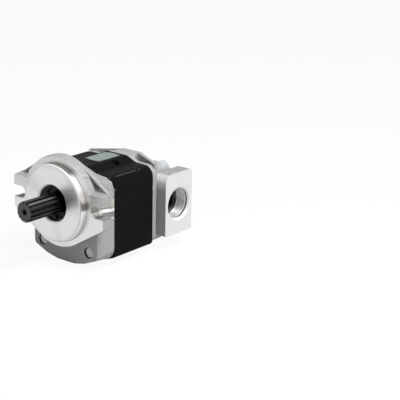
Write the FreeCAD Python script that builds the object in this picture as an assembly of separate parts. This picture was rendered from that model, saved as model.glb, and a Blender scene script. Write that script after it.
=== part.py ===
import FreeCAD, Part

import math
import os

# External gear pump with a two-bolt flange.
# Origin: on the drive shaft's axis, in the plane of the mounting face.
# +Y runs from the mounting face to the rear, +Z is up, and the shaft end points to -Y.
# The driven gear lies below the driving gear. All sizes are in millimetres.

V = FreeCAD.Vector
Y_AXIS = V(0, 1, 0)

# Mounting flange
pilot_radius = 41.275
pilot_height = 7.5
pilot_edge_radius = 2.8
pilot_root = 1.0
bolt_span = 106.4
slot_width = 13.0
ear_half_span = 63.5
arm_half_height = 17.2
arm_draft = 2.0
flange_thickness = 13.0
disc_radius = 47.6
band_radius = 48.8
band_start = 3.2
band_full = 8.0
band_bulge = 0.75
rib_width = 2.0
rib_front = 9.5
pocket_floor = 14.0
pocket_arm_gap = 0.4
pocket_disc_wall = 0.5
pocket_corner_radius = 0.6
pocket_inner_share = 0.5
pocket_upper_share = 0.8
slot_depth = 15.0
channel_clearance = 0.6
channel_end_wall = 2.0
channel_top = -1.0

# Seal bore in the pilot
seal_bore_radius = 19.25
bore_chamfer = 1.2
seal_bore_depth = 12.0
seal_width = 8.0
seal_wall = 1.0
seal_lip_reach = 5.0
seal_spring_wire = 0.7
seal_spring_radius = 13.1
seal_spring_place = 0.6
seal_spring_room = 0.1
seal_lip_web = 2.2
seal_lip_step = 0.4
seal_lip_tail = 0.8
seal_lip_clearance = 0.5
seal_lip_slope = 2.0
snap_ring_thickness = 1.5
snap_ring_groove_depth = 1.3
snap_ring_width = 3.0
snap_ring_gap = 9.0
snap_ring_room = 0.4
snap_ring_lug_radius = 2.3
snap_ring_lug_inset = 2.6
snap_ring_lug_offset = 2.0
snap_ring_lug_hole = 0.9
snap_ring_mouth_reach = 4.0

# Casing lengths along Y, from the mounting face
front_cover_depth = 31.5
housing_length = 60.0
rear_flange_thickness = 6.0
joint_step = 0.5

# Casing outline, seen along Y
casing_half_width = 51.0
shoulder_height = 27.9
shoulder_corner_radius = 11.0
valley_x = 26.5
valley_height = 28.8
valley_radius = 8.0
hump_x = 14.0
hump_height = 34.0
hump_radius = 8.0
heel_height = 57.8
heel_radius = 5.0
haunch_x = 27.0
haunch_height = 65.8
haunch_radius = 25.0
foot_x = 12.0
foot_height = 69.0
foot_radius = 20.0
cover_corner_radius = 11.5
cover_heel_radius = 15.0

# Casting between the ribs and the joint
shoulder_overhang = 2.0
shoulder_corner_step = 2.0
shoulder_valley_step = 4.0
crest_edge_step = 2.0
crest_edge_drop = 1.4

# Front of the casing block behind the flange
block_front = 11.0
block_half_width = 45.2
block_heel_height = 56.8
block_rise = 1.5
block_top = 4.0
block_top_radius = 2.0

# Gears
gear_module = 3.0
gear_teeth = 12
pressure_angle = 20.0
gear_backlash_angle = 0.9
gear_bore_clearance = 0.05
gear_end_clearance = 0.1
gear_tip_clearance = 0.05
flank_points = 6
thrust_plate_thickness = 6.0
thrust_plate_clearance = 0.05

# Shafts and bushes
journal_radius = 11.0
journal_clearance = 0.05
bush_wall = 2.5
bush_length = 16.0
bush_end_room = 0.5
bush_chamfer = 0.4
shaft_reach = 46.8
spline_teeth = 13
spline_outer_radius = 10.9
spline_root_radius = 9.2
spline_length = 38.0
spline_chamfer = 1.2
spline_root_share = 0.17
spline_outer_share = 0.29
spline_relief = 1.0
centre_hole_radius = 2.3
centre_hole_depth = 6.0
centre_hole_flare = 1.4
journal_chamfer = 0.8
journal_end_gap = 1.0

# Through bolts
bolt_x = 33.2
bolt_rise = 33.0
bolt_radius = 5.95
bolt_hole_radius = 6.6
bolt_thread_radius = 6.0
bolt_head_radius = 9.0
bolt_head_height = 11.0
bolt_head_edge = 1.0
bolt_socket_flats = 10.0
bolt_socket_depth = 6.0
bolt_tip_recess = 1.5
bolt_tip_chamfer = 0.8
bolt_seat_height = 26.5
bolt_boss_radius = 11.2
washer_radius = 10.5
washer_thickness = 2.0
washer_hole_radius = 6.4
washer_room = 0.3

# Dowels between the casings
dowel_x = 41.5
dowel_radius = 3.0
dowel_bore_radius = 1.8
dowel_length = 10.0
dowel_end_room = 0.3

# Joint seals and pressure seals
joint_seal_offset = 26.0
joint_seal_width = 2.4
joint_seal_depth = 1.8
pressure_seal_outer = 18.7
pressure_seal_width = 2.2
backup_width = 1.1
pressure_seal_depth = 2.2
pressure_seal_overlap = 3.0

# Oil ways
suction_half_height = 9.0
delivery_half_height = 6.0
oil_way_reach = 22.5
oil_way_front_wall = 12.0
oil_way_divider = 10.0
port_core_end = 9.0

# Ports and their pads
port_y_from_joint = 31.8
suction_thread_radius = 16.5
delivery_thread_radius = 13.5
port_chamfer = 2.0
port_thread_length = 19.0
suction_core_radius = 12.5
delivery_core_radius = 10.0
pad_x = 61.0
pad_thickness = 16.0
pad_half_width = 22.15
pad_top = 17.5
pad_bottom = -51.5
pad_front_top_radius = 10.0
pad_rear_top_radius = 5.0
pad_bottom_radius = 2.5
port_tube_radius = 21.5
port_web_share = 0.8

# Rear cover casting
rear_inset = 2.0
rear_rib_high = 31.6
rear_rib_low = 28.4
rear_crest_half_width = 13.0
rear_crest_depth = 21.0
rear_corner_depth = 11.0
rear_corner_x = 47.5
rear_rib_width = 4.5
rear_pocket_depth = 6.5
rear_pocket_x = 19.0
rear_pocket_step = 0.5
rear_pocket_corner_radius = 1.0
rear_pocket_outer_wall = 4.5
rear_pocket_corner_wall = 2.0
rear_pocket_crest_wall = 1.5
rear_tie_inner_x = 40.0
rear_tie_outer_x = 46.0
rear_tie_inset = 3.0
bush_boss_wall = 6.0

# Name plate and the two tapped holes on top of the housing
plate_length = 34.0
plate_width = 20.0
plate_thickness = 0.6
plate_corner_radius = 2.5
plate_y = 68.5
rivet_radius = 1.0
rivet_inset = 2.2
rivet_height = 0.5
top_hole_x = 19.5
top_hole_y = 67.5
top_hole_radius = 4.25
top_hole_floor = 21.5

# Values worked out from the sizes above
centre_distance = gear_module * gear_teeth
mid_z = -centre_distance / 2.0
front_joint = front_cover_depth
rear_joint = front_cover_depth + housing_length
gear_tip_radius = gear_module * (gear_teeth + 2) / 2.0 - gear_tip_clearance
gear_root_radius = gear_module * (gear_teeth - 2.5) / 2.0
gear_bore_radius = gear_tip_radius + gear_bore_clearance
gear_front = front_joint + thrust_plate_thickness + gear_end_clearance
gear_rear = rear_joint - thrust_plate_thickness - gear_end_clearance
bush_outer_radius = journal_radius + journal_clearance + bush_wall
bolt_seat = rear_joint + bolt_seat_height
port_y = rear_joint + port_y_from_joint
slot_x = bolt_span / 2.0
slot_radius = slot_width / 2.0
past = 5.0
lap = 1.0
arc_drop = 1 - math.sqrt(0.5)
bolt_places = [(side * bolt_x, mid_z + rise * bolt_rise) for side in (-1, 1) for rise in (-1, 1)]
gear_centres = [(0.0, 0.0), (0.0, -centre_distance)]


# Basic shapes

def cylinder(radius, y0, y1, x=0.0, z=0.0):
    return Part.makeCylinder(radius, y1 - y0, V(x, y0, z), Y_AXIS)


def ring(inner, outer, y0, y1, x=0.0, z=0.0):
    return cylinder(outer, y0, y1, x, z).cut(cylinder(inner, y0 - past, y1 + past, x, z))


def box(x0, x1, y0, y1, z0, z1):
    return Part.makeBox(x1 - x0, y1 - y0, z1 - z0, V(x0, y0, z0))


def cylinder_x(radius, x0, x1, y, z):
    return Part.makeCylinder(radius, abs(x1 - x0), V(min(x0, x1), y, z), V(1, 0, 0))


def turned(profile, x=0.0, z=0.0):
    points = [V(x + radius, y, z) for radius, y in profile]
    face = Part.Face(Part.makePolygon(points + [points[0]]))
    return face.revolve(V(x, 0, z), Y_AXIS, 360)


def rounded_wire(corners):
    # Each corner is a point and the radius that rounds it.
    count = len(corners)
    stops = []
    for i in range(count):
        before = corners[i - 1][0]
        point, radius = corners[i]
        after = corners[(i + 1) % count][0]
        to_before = (before - point).normalize()
        to_after = (after - point).normalize()
        half_angle = to_before.getAngle(to_after) / 2.0
        reach = radius / math.tan(half_angle)
        middle = (to_before + to_after).normalize()
        bow = radius / math.sin(half_angle) - radius
        stops.append((point + to_before * reach, point + middle * bow, point + to_after * reach))
    edges = []
    for i in range(count):
        start, bend, end = stops[i]
        following = stops[(i + 1) % count][0]
        edges.append(Part.Arc(start, bend, end).toShape())
        edges.append(Part.makeLine(end, following))
    return Part.Wire(edges)


def prism(wire, direction):
    return Part.Face(wire).extrude(direction)


def both_sides(shape):
    return shape.fuse(shape.mirror(V(0, 0, 0), V(1, 0, 0)))


def fused(shapes):
    return shapes[0].multiFuse(shapes[1:]).removeSplitter()


def group(shapes):
    return Part.makeCompound(shapes)


def keep(name, shape):
    shape.exportStep("parts/" + name + ".step")


# Outline that the three casings share

def mirrored(half):
    left = [(V(-point.x, point.y, point.z), radius) for point, radius in reversed(half)]
    return half + left


def casing_corners(y, inset=0.0, corner_radius=shoulder_corner_radius, low_radius=heel_radius):
    half = [
        (V(foot_x, y, -foot_height + inset), foot_radius),
        (V(haunch_x, y, -haunch_height + inset), haunch_radius),
        (V(casing_half_width - inset, y, -heel_height + inset), low_radius),
        (V(casing_half_width - inset, y, shoulder_height - inset), corner_radius),
        (V(valley_x, y, valley_height - inset), valley_radius),
        (V(hump_x, y, hump_height - inset), hump_radius),
    ]
    return mirrored(half)


def casing_prism(y0, y1, inset=0.0, corner_radius=shoulder_corner_radius, low_radius=heel_radius):
    wire = rounded_wire(casing_corners(y0, inset, corner_radius, low_radius))
    return prism(wire, V(0, y1 - y0, 0))


# Front cover

def tangent_point(radius, tip_x, tip_z):
    # Where the straight edge from the ear's tip meets the disc.
    distance = math.hypot(tip_x, tip_z)
    angle = math.atan2(tip_z, tip_x) + math.acos(radius / distance)
    return radius * math.cos(angle), radius * math.sin(angle)


def web_face(radius, y, top):
    # Disc and ears under one outline, from the middle plane to one side.
    sign = 1.0 if top else -1.0
    tx, tz = tangent_point(radius, ear_half_span, arm_half_height)
    corners = [
        V(ear_half_span, y, 0),
        V(ear_half_span, y, sign * arm_half_height),
        V(tx, y, sign * tz),
    ]
    others = [V(-corner.x, y, corner.z) for corner in reversed(corners)]
    edges = [Part.makeLine(corners[0], corners[1]), Part.makeLine(corners[1], corners[2])]
    edges.append(Part.Arc(corners[2], V(0, y, sign * radius), others[0]).toShape())
    edges.append(Part.makeLine(others[0], others[1]))
    edges.append(Part.makeLine(others[1], others[2]))
    edges.append(Part.makeLine(others[2], corners[0]))
    return Part.Face(Part.Wire(edges))


def flange_disc():
    # Machined face at Y = 0. Above the middle plane its cast edge rounds out to the band.
    start = V(disc_radius, 0, 0)
    middle = V(disc_radius + band_bulge * (band_radius - disc_radius), band_start, 0)
    end = V(band_radius, band_full, 0)
    rear = V(band_radius, flange_thickness, 0)
    edges = [
        Part.makeLine(V(0, 0, 0), start),
        Part.Arc(start, middle, end).toShape(),
        Part.makeLine(end, rear),
        Part.makeLine(rear, V(0, flange_thickness, 0)),
        Part.makeLine(V(0, flange_thickness, 0), V(0, 0, 0)),
    ]
    face = Part.Face(Part.Wire(edges))
    disc = face.revolve(V(0, 0, 0), Y_AXIS, 360)
    upper = box(-band_radius, band_radius, 0, flange_thickness, 0, band_radius)
    return disc.common(upper)


def ear_arm():
    # Upper arm of one ear, whose top rises a little towards the rear.
    wires = []
    for y, top in ((0, arm_half_height), (flange_thickness, arm_half_height + arm_draft)):
        points = [V(0, y, 0), V(ear_half_span, y, 0), V(ear_half_span, y, top), V(0, y, top)]
        wires.append(Part.makePolygon(points + [points[0]]))
    return Part.makeLoft(wires, True, True)


def lower_flange():
    return web_face(disc_radius, 0.0, False).extrude(V(0, flange_thickness, 0))


def rib_plate():
    # Thin ribs along the edges from the disc to the upper arms.
    return web_face(band_radius, rib_front, True).extrude(V(0, flange_thickness - rib_front, 0))


def shoulder_loft():
    # Casting between the ribs and the joint, above the middle plane.
    tx, tz = tangent_point(band_radius, ear_half_span, arm_half_height)
    slope = (tz - arm_half_height) / (ear_half_span - tx)
    y0 = flange_thickness
    y1 = front_joint
    side = block_half_width + shoulder_overhang
    corner_x = casing_half_width - cover_corner_radius
    arc_low = cover_corner_radius * arc_drop
    top = shoulder_height - joint_step
    wide = casing_half_width - joint_step

    def rib_height(x):
        return arm_half_height + (ear_half_span - x) * slope

    middle_x = (side + corner_x) / 2.0
    front_x = [side, middle_x, corner_x - shoulder_corner_step, valley_x + shoulder_valley_step, tx]
    front = [V(side, y0, 0)] + [V(x, y0, rib_height(x)) for x in front_x]
    rear = [
        V(wide, y1, 0),
        V(wide, y1, top - cover_corner_radius),
        V(wide - arc_low, y1, top - arc_low),
        V(corner_x, y1, top),
        V(valley_x, y1, valley_height - joint_step),
        V(hump_x + crest_edge_step, y1, hump_height - joint_step - crest_edge_drop),
    ]
    crest = [V(0, y0, band_radius), V(0, y1, hump_height - joint_step)]
    wires = []
    for points, high in ((front, crest[0]), (rear, crest[1])):
        left = [V(-point.x, point.y, point.z) for point in reversed(points)]
        edges = [Part.makeLine(points[i], points[i + 1]) for i in range(len(points) - 1)]
        edges.append(Part.Arc(points[-1], high, left[0]).toShape())
        edges += [Part.makeLine(left[i], left[i + 1]) for i in range(len(left) - 1)]
        edges.append(Part.makeLine(left[-1], points[0]))
        wires.append(Part.Wire(edges))
    return Part.makeLoft(wires, True, True)


def block_loft():
    # Lower casing block, wider at the joint than behind the flange.
    front_half = [
        (V(foot_x, block_front, -foot_height + block_rise), foot_radius),
        (V(haunch_x, block_front, -haunch_height + block_rise), haunch_radius),
        (V(block_half_width, block_front, -block_heel_height), heel_radius),
        (V(block_half_width, block_front, block_top), block_top_radius),
    ]
    wide = casing_half_width - joint_step
    rear_half = [
        (V(foot_x, front_joint, -foot_height + joint_step), foot_radius),
        (V(haunch_x, front_joint, -haunch_height + joint_step), haunch_radius),
        (V(wide, front_joint, -heel_height + joint_step), cover_heel_radius),
        (V(wide, front_joint, block_top), block_top_radius),
    ]
    wires = [rounded_wire(mirrored(half)) for half in (front_half, rear_half)]
    return Part.makeLoft(wires, True, True)


def pilot():
    edge = pilot_edge_radius
    side = V(pilot_radius, edge - pilot_height, 0)
    bend = V(pilot_radius - edge * arc_drop, edge * arc_drop - pilot_height, 0)
    face_end = V(pilot_radius - edge, -pilot_height, 0)
    centre = V(0, -pilot_height, 0)
    root = V(pilot_radius, pilot_root, 0)
    edges = [
        Part.makeLine(V(0, pilot_root, 0), root),
        Part.makeLine(root, side),
        Part.Arc(side, bend, face_end).toShape(),
        Part.makeLine(face_end, centre),
        Part.makeLine(centre, V(0, pilot_root, 0)),
    ]
    return Part.Face(Part.Wire(edges)).revolve(V(0, 0, 0), Y_AXIS, 360)


def flange_pockets():
    # Triangular recesses between the disc, the ribs and the upper arms.
    tx, tz = tangent_point(band_radius, ear_half_span, arm_half_height)
    slope = (tz - arm_half_height) / (ear_half_span - tx)
    drop = rib_width * math.hypot(1.0, slope)
    floor_z = arm_half_height + arm_draft + pocket_arm_gap

    def line_height(x):
        return arm_half_height + (ear_half_span - x) * slope - drop

    tip_x = ear_half_span - (floor_z - arm_half_height + drop) / slope
    inner_x = band_radius * pocket_inner_share
    upper_x = tx * pocket_upper_share
    corners = [
        (V(inner_x, -past, floor_z), pocket_corner_radius),
        (V(tip_x, -past, floor_z), pocket_corner_radius),
        (V(upper_x, -past, line_height(upper_x)), pocket_corner_radius),
    ]
    wedge = prism(rounded_wire(corners), V(0, pocket_floor + past, 0))
    pocket = wedge.cut(cylinder(disc_radius + pocket_disc_wall, -2 * past, front_joint))
    return [pocket, pocket.mirror(V(0, 0, 0), V(1, 0, 0))]


def slot_cut(side, radius, y0, y1):
    # Round hole that opens outwards.
    outer_x = ear_half_span + past
    way = box(min(side * slot_x, side * outer_x), max(side * slot_x, side * outer_x), y0, y1, -radius, radius)
    return cylinder(radius, y0, y1, side * slot_x, 0).fuse(way)


def open_slot(side):
    # Bolt slot in the ear. Behind the ear it is a little wider, and below channel_top it runs
    # back along the casing's side, almost to the joint.
    wide = slot_radius + channel_clearance
    seat = slot_cut(side, slot_radius, -past, flange_thickness)
    relief = slot_cut(side, wide, flange_thickness, slot_depth)
    channel_end = front_joint - channel_end_wall
    channel = slot_cut(side, wide, flange_thickness, channel_end)
    outer_x = ear_half_span + past
    low = box(-outer_x, outer_x, flange_thickness, channel_end, -wide - past, channel_top)
    return [seat, relief, channel.common(low)]


def joint_groove(y0, y1):
    outer = stadium(joint_seal_offset + joint_seal_width / 2.0, y0, y1)
    inner = stadium(joint_seal_offset - joint_seal_width / 2.0, y0 - past, y1 + past)
    return outer.cut(inner)


def stadium(radius, y0, y1):
    ends = [cylinder(radius, y0, y1, x, z) for x, z in gear_centres]
    middle = box(-radius, radius, y0, y1, -centre_distance, 0)
    return fused(ends + [middle])


def bush_bore(y0, y1, x, z):
    return cylinder(bush_outer_radius, y0, y1, x, z)


def dowel_hole(joint_y, side):
    half = dowel_length / 2.0 + dowel_end_room
    return cylinder(dowel_radius, joint_y - half, joint_y + half, side * dowel_x, mid_z)


def front_cover():
    body = fused([
        pilot(),
        flange_disc(),
        both_sides(ear_arm()),
        lower_flange(),
        rib_plate(),
        shoulder_loft(),
        block_loft(),
    ])
    cuts = flange_pockets() + open_slot(-1) + open_slot(1)
    cuts.append(cylinder(seal_bore_radius, -pilot_height - past, seal_bore_depth))
    mouth = seal_bore_radius + bore_chamfer
    cuts.append(turned([
        (0, -pilot_height - lap),
        (mouth + lap, -pilot_height - lap),
        (seal_bore_radius, -pilot_height + bore_chamfer),
        (0, -pilot_height + bore_chamfer),
    ]))
    groove_radius = seal_bore_radius + snap_ring_groove_depth
    cuts.append(cylinder(groove_radius, snap_ring_y(), snap_ring_y() + snap_ring_thickness))
    cuts.append(bush_bore(seal_bore_depth - lap, front_joint + past, 0, 0))
    blind = front_joint - bush_length - bush_end_room
    cuts.append(bush_bore(blind, front_joint + past, 0, -centre_distance))
    for x, z in bolt_places:
        start = -past if z < mid_z else flange_thickness + lap
        cuts.append(cylinder(bolt_thread_radius, start, front_joint + past, x, z))
    cuts += [dowel_hole(front_joint, side) for side in (-1, 1)]
    cuts.append(joint_groove(front_joint - joint_seal_depth, front_joint + past))
    return body.cut(cuts)


def snap_ring_y():
    return seal_bore_depth - seal_width - snap_ring_thickness - snap_ring_room


# Gear housing

def top_hole(side):
    height = hump_height + past - top_hole_floor
    foot = V(side * top_hole_x, top_hole_y, top_hole_floor)
    return Part.makeCylinder(top_hole_radius, height, foot, V(0, 0, 1))


def oil_chamber(side, half_height):
    # Pocket beside the gears' mesh, open to the rear cover.
    y0 = front_joint + oil_way_front_wall
    low_x = min(0.0, side * oil_way_reach)
    return box(low_x, low_x + oil_way_reach, y0, rear_joint + past, mid_z - half_height, mid_z + half_height)


def gear_housing():
    body = casing_prism(front_joint, rear_joint)
    cuts = [cylinder(gear_bore_radius, front_joint - past, rear_joint + past, x, z) for x, z in gear_centres]
    cuts += [cylinder(bolt_hole_radius, front_joint - past, rear_joint + past, x, z) for x, z in bolt_places]
    cuts += [dowel_hole(y, side) for y in (front_joint, rear_joint) for side in (-1, 1)]
    cuts += [top_hole(side) for side in (-1, 1)]
    cuts.append(oil_chamber(1, suction_half_height))
    cuts.append(oil_chamber(-1, delivery_half_height))
    return body.cut(cuts)


# Rear cover

def rear_flange():
    wire = rounded_wire(casing_corners(rear_joint, joint_step, cover_corner_radius, cover_heel_radius))
    return prism(wire, V(0, rear_flange_thickness, 0))


def rear_roof():
    # Casting behind the flange, deepest in the middle and shallow at the corners.
    base = -foot_height - past
    crest_y = rear_joint + rear_crest_depth + rear_rib_width
    corners = [
        V(-rear_corner_x, rear_joint, base),
        V(rear_corner_x, rear_joint, base),
        V(rear_corner_x, rear_joint + rear_corner_depth, base),
        V(rear_crest_half_width, crest_y, base),
        V(-rear_crest_half_width, crest_y, base),
        V(-rear_corner_x, rear_joint + rear_corner_depth, base),
    ]
    plan = Part.Face(Part.makePolygon(corners + [corners[0]]))
    tall = plan.extrude(V(0, 0, foot_height + hump_height + 2 * past))
    skin = casing_prism(rear_joint, port_y, rear_inset, cover_corner_radius, cover_heel_radius)
    return tall.common(skin)


def rear_rib(side):
    # Straight rib along the roof's rear edge, from the crest to the corner boss.
    inner_y = rear_joint + rear_crest_depth + rear_rib_width
    outer_y = rear_joint + rear_corner_depth
    inner = V(side * rear_crest_half_width, inner_y, 0)
    outer = V(side * rear_corner_x, outer_y, 0)
    inward = V(0, -rear_rib_width, 0)
    low = [inner, outer, outer + inward, inner + inward]
    heights = [rear_rib_high, rear_rib_low, rear_rib_low, rear_rib_high]
    high = [point + V(0, 0, height) for point, height in zip(low, heights)]
    faces = [Part.Face(Part.makePolygon(points + [points[0]])) for points in (low, high)]
    for i in range(len(low)):
        j = (i + 1) % len(low)
        wall = [low[i], low[j], high[j], high[i]]
        faces.append(Part.Face(Part.makePolygon(wall + [wall[0]])))
    return Part.Solid(Part.Shell(faces))


def rear_pocket(side, top):
    # Three-sided recess in the roof or in the underside, between the flange and the rib.
    front_y = rear_joint + rear_flange_thickness + rear_pocket_step
    corner_y = rear_joint + rear_corner_depth - rear_pocket_corner_wall
    crest_y = rear_joint + rear_crest_depth
    if top:
        z0 = shoulder_height - rear_pocket_depth
        z1 = hump_height + past
    else:
        z0 = -foot_height - past
        z1 = rear_pocket_depth - haunch_height
    corners = [
        (V(side * rear_pocket_x, front_y, z0), rear_pocket_corner_radius),
        (V(side * (rear_corner_x - rear_pocket_outer_wall), corner_y, z0), rear_pocket_corner_radius),
        (V(side * (rear_crest_half_width - rear_pocket_crest_wall), crest_y, z0), rear_pocket_corner_radius),
    ]
    return prism(rounded_wire(corners), V(0, 0, z1 - z0))


def port_pad(side):
    y0 = port_y - pad_half_width
    y1 = port_y + pad_half_width
    x = min(side * pad_x, side * (pad_x - pad_thickness))
    corners = [
        (V(x, y0, pad_bottom), pad_bottom_radius),
        (V(x, y1, pad_bottom), pad_bottom_radius),
        (V(x, y1, pad_top), pad_rear_top_radius),
        (V(x, y0, pad_top), pad_front_top_radius),
    ]
    return prism(rounded_wire(corners), V(pad_thickness, 0, 0))


def bolt_boss(x, z):
    return cylinder(bolt_boss_radius, rear_joint + lap, bolt_seat, x, z)


def bush_boss(x, z):
    end = rear_joint + bush_length + bush_end_room + past
    return cylinder(bush_outer_radius + bush_boss_wall, rear_joint + lap, end, x, z)


def pad_tie(side):
    # Wall that joins the pad to the flange behind the step in the side.
    x0 = min(side * rear_tie_inner_x, side * rear_tie_outer_x)
    x1 = x0 + rear_tie_outer_x - rear_tie_inner_x
    y1 = port_y - pad_half_width + past
    return box(x0, x1, rear_joint + lap, y1, pad_bottom + rear_tie_inset, pad_top - rear_tie_inset)


def port_cuts(side, thread_radius, core_radius, half_height):
    face = side * pad_x
    cuts = [cylinder_x(thread_radius, face - side * port_thread_length, face + side * past, port_y, mid_z)]
    cone = Part.makeCone(
        thread_radius + port_chamfer + lap,
        thread_radius,
        port_chamfer + lap,
        V(face + side * lap, port_y, mid_z),
        V(-side, 0, 0),
    )
    cuts.append(cone)
    cuts.append(cylinder_x(core_radius, side * port_core_end, face, port_y, mid_z))
    x0 = min(side * oil_way_divider, side * oil_way_reach)
    x1 = max(side * oil_way_divider, side * oil_way_reach)
    cuts.append(box(x0, x1, rear_joint - past, port_y, mid_z - half_height, mid_z + half_height))
    return cuts


def rear_cover():
    tube = cylinder_x(port_tube_radius, lap - pad_x, pad_x - lap, port_y, mid_z)
    half = port_tube_radius * port_web_share
    web = box(-rear_tie_outer_x, rear_tie_outer_x, rear_joint + lap, port_y, mid_z - half, mid_z + half)
    solids = [rear_flange(), rear_roof(), tube, web]
    solids += [rear_rib(side) for side in (-1, 1)]
    solids += [port_pad(side) for side in (-1, 1)]
    solids += [pad_tie(side) for side in (-1, 1)]
    solids += [bolt_boss(x, z) for x, z in bolt_places]
    solids += [bush_boss(x, z) for x, z in gear_centres]
    body = fused(solids)
    cuts = [rear_pocket(side, top) for side in (-1, 1) for top in (True, False)]
    cuts += [cylinder(bolt_hole_radius, rear_joint - past, bolt_seat + past, x, z) for x, z in bolt_places]
    clear_y = bolt_seat + washer_thickness + bolt_head_height + past
    cuts += [cylinder(washer_radius + washer_room, bolt_seat, clear_y, x, z) for x, z in bolt_places]
    end = rear_joint + bush_length + bush_end_room
    cuts += [bush_bore(rear_joint - past, end, x, z) for x, z in gear_centres]
    cuts += [dowel_hole(rear_joint, side) for side in (-1, 1)]
    cuts.append(joint_groove(rear_joint - past, rear_joint + joint_seal_depth))
    cuts += port_cuts(1, suction_thread_radius, suction_core_radius, suction_half_height)
    cuts += port_cuts(-1, delivery_thread_radius, delivery_core_radius, delivery_half_height)
    return body.cut(cuts)


# Gears and shafts

def involute_angle(radius, base):
    reach = math.sqrt(max(radius * radius / (base * base) - 1.0, 0.0))
    return reach - math.atan(reach)


def gear_wire(y, turn):
    # Involute flanks between the root circle and the tip circle.
    pitch = gear_module * gear_teeth / 2.0
    base = pitch * math.cos(math.radians(pressure_angle))
    half_tooth = math.pi / (2 * gear_teeth) - math.radians(gear_backlash_angle) / 2.0
    half_base = half_tooth + involute_angle(pitch, base)
    step = 2 * math.pi / gear_teeth
    start = max(base, gear_root_radius)
    rise = (gear_tip_radius - start) / (flank_points - 1)
    radii = [start + rise * k for k in range(flank_points)]

    def point(radius, angle):
        return V(radius * math.cos(angle), y, radius * math.sin(angle))

    edges = []
    for tooth in range(gear_teeth):
        middle = turn + tooth * step
        rising = [point(r, middle - half_base + involute_angle(r, base)) for r in radii]
        falling = [point(r, middle + half_base - involute_angle(r, base)) for r in reversed(radii)]
        root_in = point(gear_root_radius, middle - half_base)
        root_out = point(gear_root_radius, middle + half_base)
        next_in = point(gear_root_radius, middle + step - half_base)
        edges.append(Part.makeLine(root_in, rising[0]))
        edges.append(flank(rising))
        edges.append(Part.Arc(rising[-1], point(gear_tip_radius, middle), falling[0]).toShape())
        edges.append(flank(falling))
        edges.append(Part.makeLine(falling[-1], root_out))
        edges.append(Part.Arc(root_out, point(gear_root_radius, middle + step / 2.0), next_in).toShape())
    return Part.Wire(edges)


def flank(points):
    curve = Part.BSplineCurve()
    curve.interpolate(points)
    return curve.toShape()


def gear_blank(z, turn):
    wire = gear_wire(gear_front, turn)
    solid = prism(wire, V(0, gear_rear - gear_front, 0))
    return solid.translated(V(0, 0, z))


def journal(y0, y1, z):
    end_radius = journal_radius - journal_chamfer
    return turned([
        (0, y0),
        (end_radius, y0),
        (journal_radius, y0 + journal_chamfer),
        (journal_radius, y1 - journal_chamfer),
        (end_radius, y1),
        (0, y1),
    ], 0, z)


def spline_grooves(y0, y1):
    # Parallel grooves between the teeth, as wide at the root as the teeth.
    step = 2 * math.pi / spline_teeth
    outer = spline_outer_radius + spline_relief
    half_root = step * spline_root_share
    half_outer = step * spline_outer_share
    grooves = []
    for k in range(spline_teeth):
        middle = (k + 0.5) * step
        corners = [
            (spline_root_radius, middle - half_root),
            (outer, middle - half_outer),
            (outer, middle + half_outer),
            (spline_root_radius, middle + half_root),
        ]
        points = [V(r * math.cos(a), y0, r * math.sin(a)) for r, a in corners]
        face = Part.Face(Part.makePolygon(points + [points[0]]))
        grooves.append(face.extrude(V(0, y1 - y0, 0)))
    return grooves


def drive_gear_shaft():
    end = -shaft_reach
    spline_end = end + spline_length
    bar_end = spline_end + 2 * lap
    bar = turned([
        (0, end),
        (spline_outer_radius - spline_chamfer, end),
        (spline_outer_radius, end + spline_chamfer),
        (spline_outer_radius, bar_end),
        (0, bar_end),
    ])
    plain = journal(spline_end + lap, rear_joint + bush_length - journal_end_gap, 0)
    solid = fused([bar, plain, gear_blank(0, math.pi / 2.0)])
    cuts = spline_grooves(end - past, spline_end)
    cuts.append(cylinder(centre_hole_radius, end - past, end + centre_hole_depth))
    flare_end = end + centre_hole_flare
    cuts.append(turned([
        (0, end - lap),
        (centre_hole_radius + centre_hole_flare + lap, end - lap),
        (centre_hole_radius, flare_end),
        (0, flare_end),
    ]))
    return solid.cut(cuts)


def driven_gear_shaft():
    z = -centre_distance
    turn = math.pi / 2.0 + math.pi / gear_teeth
    y0 = front_joint - bush_length + journal_end_gap
    y1 = rear_joint + bush_length - journal_end_gap
    shaft = journal(y0, y1, z)
    return fused([shaft, gear_blank(z, turn)])


def bush(y0, z):
    inner = journal_radius + journal_clearance
    mouth = inner + bush_chamfer
    y1 = y0 + bush_length
    return turned([
        (mouth, y0),
        (bush_outer_radius, y0),
        (bush_outer_radius, y1),
        (mouth, y1),
        (inner, y1 - bush_chamfer),
        (inner, y0 + bush_chamfer),
    ], 0, z)


# Thrust plates and pressure seals

def figure_eight(radius, y0, y1):
    return fused([cylinder(radius, y0, y1, x, z) for x, z in gear_centres])


def lobed_band(inner, outer, y0, y1):
    # Two arcs on the delivery side, one round each shaft.
    reach = outer + past
    side = box(-reach, pressure_seal_overlap, y0, y1, -centre_distance - reach, reach)
    return [ring(inner, outer, y0, y1, x, z).common(side) for x, z in gear_centres]


def thrust_plate(y0, back_y, groove_to):
    y1 = y0 + thrust_plate_thickness
    plate = figure_eight(gear_bore_radius - thrust_plate_clearance, y0, y1)
    hole = journal_radius + 2 * journal_clearance
    cuts = [cylinder(hole, y0 - past, y1 + past, x, z) for x, z in gear_centres]
    inner = pressure_seal_outer - pressure_seal_width - backup_width
    low = min(back_y, groove_to)
    high = max(back_y, groove_to)
    cuts += lobed_band(inner, pressure_seal_outer, low, high)
    return plate.cut(cuts)


def pressure_seal(y0):
    inner = pressure_seal_outer - pressure_seal_width
    return fused(lobed_band(inner, pressure_seal_outer, y0, y0 + pressure_seal_depth))


def pressure_backup(y0):
    outer = pressure_seal_outer - pressure_seal_width
    return group(lobed_band(outer - backup_width, outer, y0, y0 + pressure_seal_depth))


# Shaft seal

def seal_front():
    return seal_bore_depth - seal_width


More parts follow.
